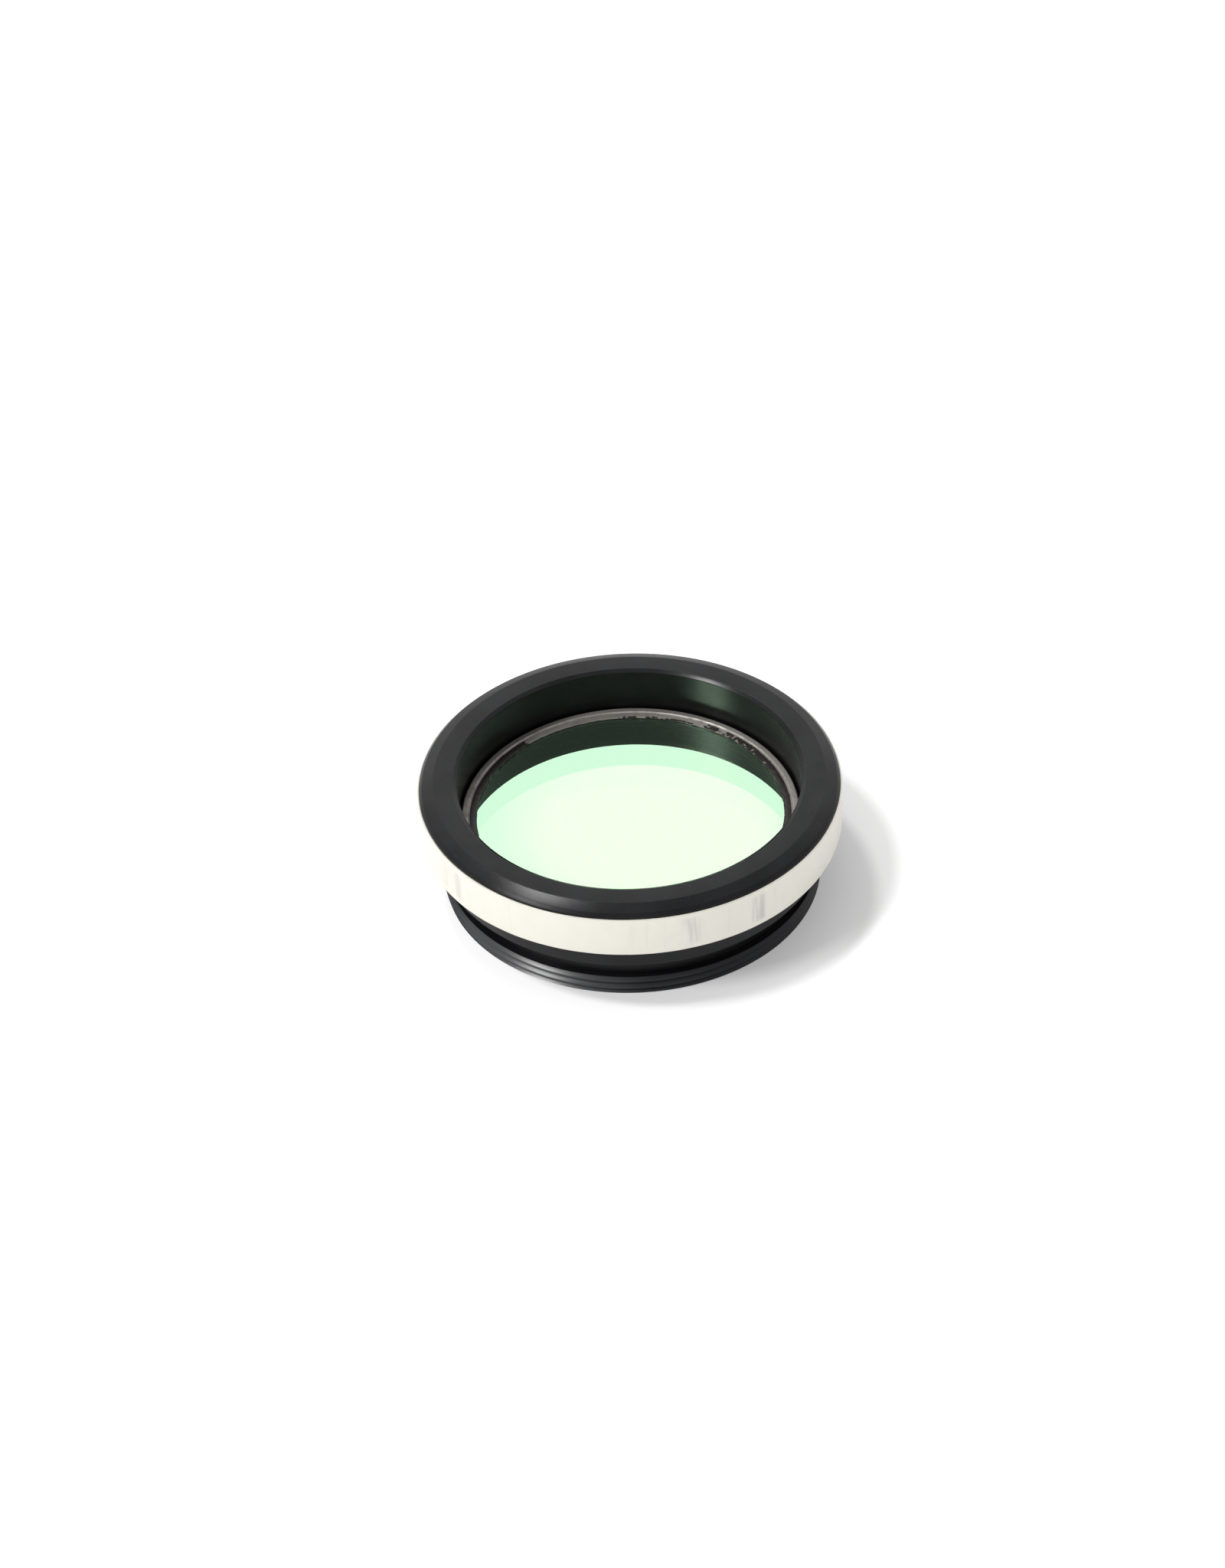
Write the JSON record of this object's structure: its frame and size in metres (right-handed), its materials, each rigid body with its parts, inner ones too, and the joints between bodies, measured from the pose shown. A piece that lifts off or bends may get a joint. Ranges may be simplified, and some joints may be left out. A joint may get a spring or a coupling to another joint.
{
  "type": "optical bandpass filter",
  "caption": "Round bandpass filter: a mirror-like pale green glass element in a black anodised threaded cell with a silver band round the rim.",
  "frame": {"origin": "centre of the bottom face of the cell, where the thread ends", "axes": "+Z along the optical axis, from the thread to the rim; +Y away from the viewer of the picture, +X to the right"},
  "size_m": [0.0318, 0.0318, 0.0091],
  "materials": {
    "black_anodised": "black anodised, satin",
    "silver_foil": "matt silver-cream foil with faint grey marks",
    "bare_ring_metal": "bare turned metal, dull",
    "coated_glass": "polished, with a green reflecting multilayer coating",
    "rear_glass": "polished, coated",
    "black_sealant": "old black-brown sealant, dull"
  },
  "bodies": {
    "root": {"filter_cell": "black_anodised", "rim_label": "silver_foil", "element_ring": "bare_ring_metal", "front_glass": "coated_glass", "rear_glass": "rear_glass", "edge_seal": "black_sealant"}
  },
  "joints": []
}
